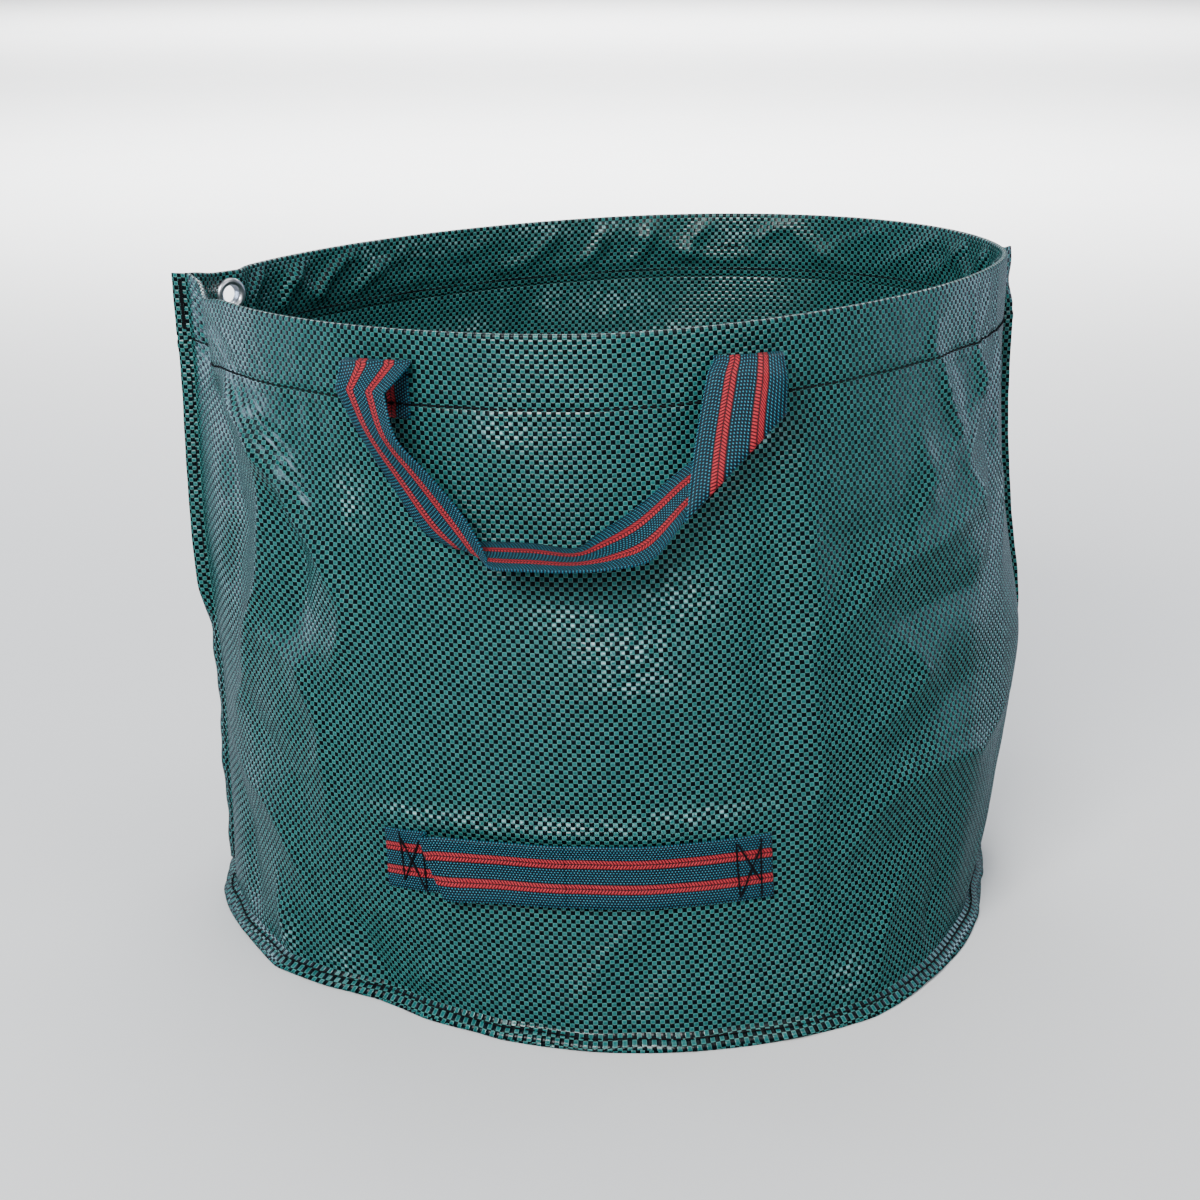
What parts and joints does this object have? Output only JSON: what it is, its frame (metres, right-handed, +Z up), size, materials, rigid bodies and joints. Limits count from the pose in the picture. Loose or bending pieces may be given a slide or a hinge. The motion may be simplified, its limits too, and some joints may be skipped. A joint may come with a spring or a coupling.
{
  "type": "leaf bag",
  "caption": "Open round garden bag of woven plastic with a sprung rim, swinging webbing handles, a low grab strap and an eyelet.",
  "frame": {"origin": "middle of the round base, on the floor it stands on", "axes": "+Z up, -Y out of the front panel with the grab strap, +X to the right of the front as seen from outside"},
  "size_m": [0.5121, 0.4813, 0.3901],
  "materials": {
    "woven_fabric": "woven polypropylene tape with a glossy polyethylene coating, green and black checks",
    "base_fabric": "woven polypropylene tape with a glossy polyethylene coating, green and black checks",
    "webbing": "ribbed polypropylene webbing, dark teal with two red stripes",
    "thread": "dark polyester thread",
    "eyelet_steel": "nickel plated pressed steel",
    "strip_plastic": "plain extruded strip, hidden in the hem"
  },
  "bodies": {
    "bag": {"front_panel": "woven_fabric", "back_panel": "woven_fabric", "base_panel": "base_fabric", "rim_strip": "strip_plastic", "eyelet": "eyelet_steel", "eyelet_washer": "eyelet_steel", "front_hem_thread": "thread", "front_hem_bobbin_thread": "thread", "back_hem_thread": "thread", "back_hem_bobbin_thread": "thread", "left_seam_thread": "thread", "left_seam_bobbin_thread": "thread", "right_seam_thread": "thread", "right_seam_bobbin_thread": "thread", "left_bar_tack": "thread", "base_seam_thread": "thread", "front_handle_left_tab": "webbing", "front_handle_right_tab": "webbing", "front_handle_left_tab_stitches": "thread", "front_handle_left_tab_bobbin_stitches": "thread", "front_handle_right_tab_stitches": "thread", "front_handle_right_tab_bobbin_stitches": "thread", "back_handle_left_tab": "webbing", "back_handle_right_tab": "webbing", "back_handle_left_tab_stitches": "thread", "back_handle_left_tab_bobbin_stitches": "thread", "back_handle_right_tab_stitches": "thread", "back_handle_right_tab_bobbin_stitches": "thread", "grab_strap_left_end": "webbing", "grab_strap_right_end": "webbing", "grab_strap_left_stitches": "thread", "grab_strap_right_stitches": "thread"},
    "front_handle": {"front_handle_loop": "webbing"},
    "back_handle": {"back_handle_loop": "webbing"},
    "strap_middle": {"grab_strap": "webbing"}
  },
  "joints": [
    {"name": "front_handle_swing", "type": "hinge", "parent": "bag", "child": "front_handle", "pos_m": [-0.03157, -0.19912, 0.37083], "axis": [-0.9991, 0.0352, -0.0223], "range_deg": [0, 170]},
    {"name": "back_handle_swing", "type": "hinge", "parent": "bag", "child": "back_handle", "pos_m": [-0.02338, 0.20811, 0.36691], "axis": [0.9615, 0.2741, 0.0181], "range_deg": [0, 170]},
    {"name": "grab_strap_pull", "type": "slide", "parent": "bag", "child": "strap_middle", "axis": [0, -1, 0], "range_m": [0, 0.01]}
  ]
}
